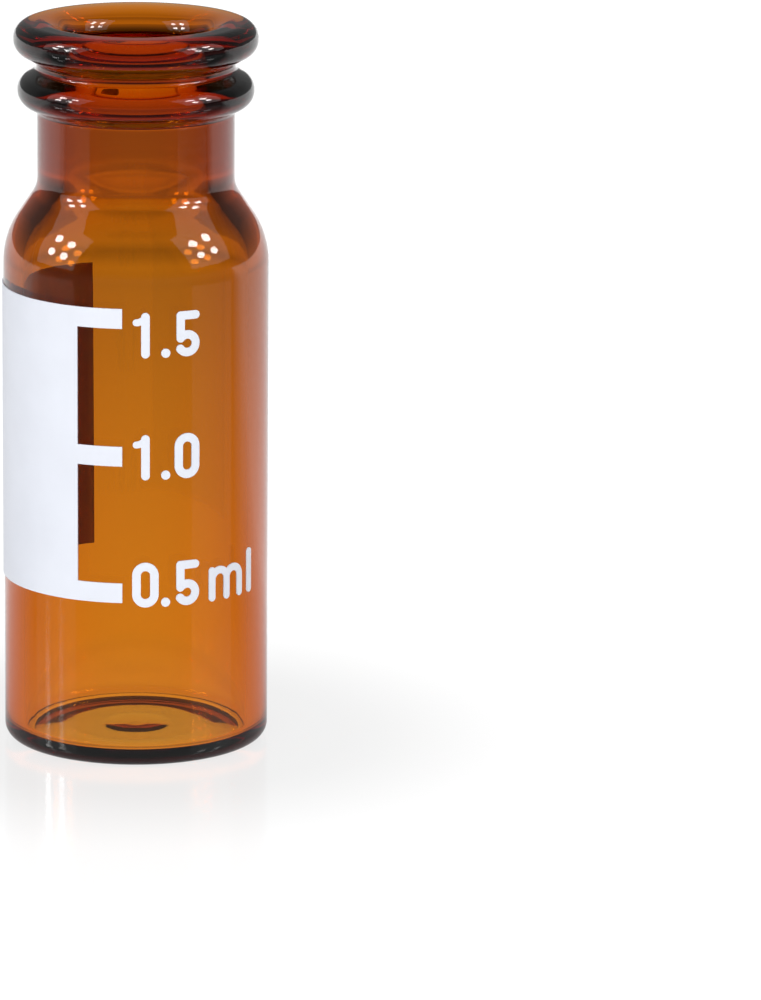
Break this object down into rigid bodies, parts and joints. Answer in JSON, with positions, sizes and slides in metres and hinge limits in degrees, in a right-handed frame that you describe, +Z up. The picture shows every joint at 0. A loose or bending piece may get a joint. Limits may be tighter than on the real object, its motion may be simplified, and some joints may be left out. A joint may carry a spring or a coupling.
{
  "type": "glass sample vial",
  "caption": "Small amber glass sample vial with a snap-ring neck finish for a crimp or snap cap, and a white fired writing patch with volume graduations.",
  "frame": {"origin": "centre of the base, in the plane that the vial stands on", "axes": "+Z up along the vial's axis and out of its mouth; the figures face -Y and the writing patch faces -X"},
  "size_m": [0.0116, 0.0116, 0.032],
  "materials": {
    "amber_glass": "clear, smooth, fire-polished",
    "white_enamel": "fired screen print, satin"
  },
  "bodies": {
    "root": {"vial_body": "amber_glass", "writing_patch": "white_enamel", "graduation_figures": "white_enamel"}
  },
  "joints": []
}
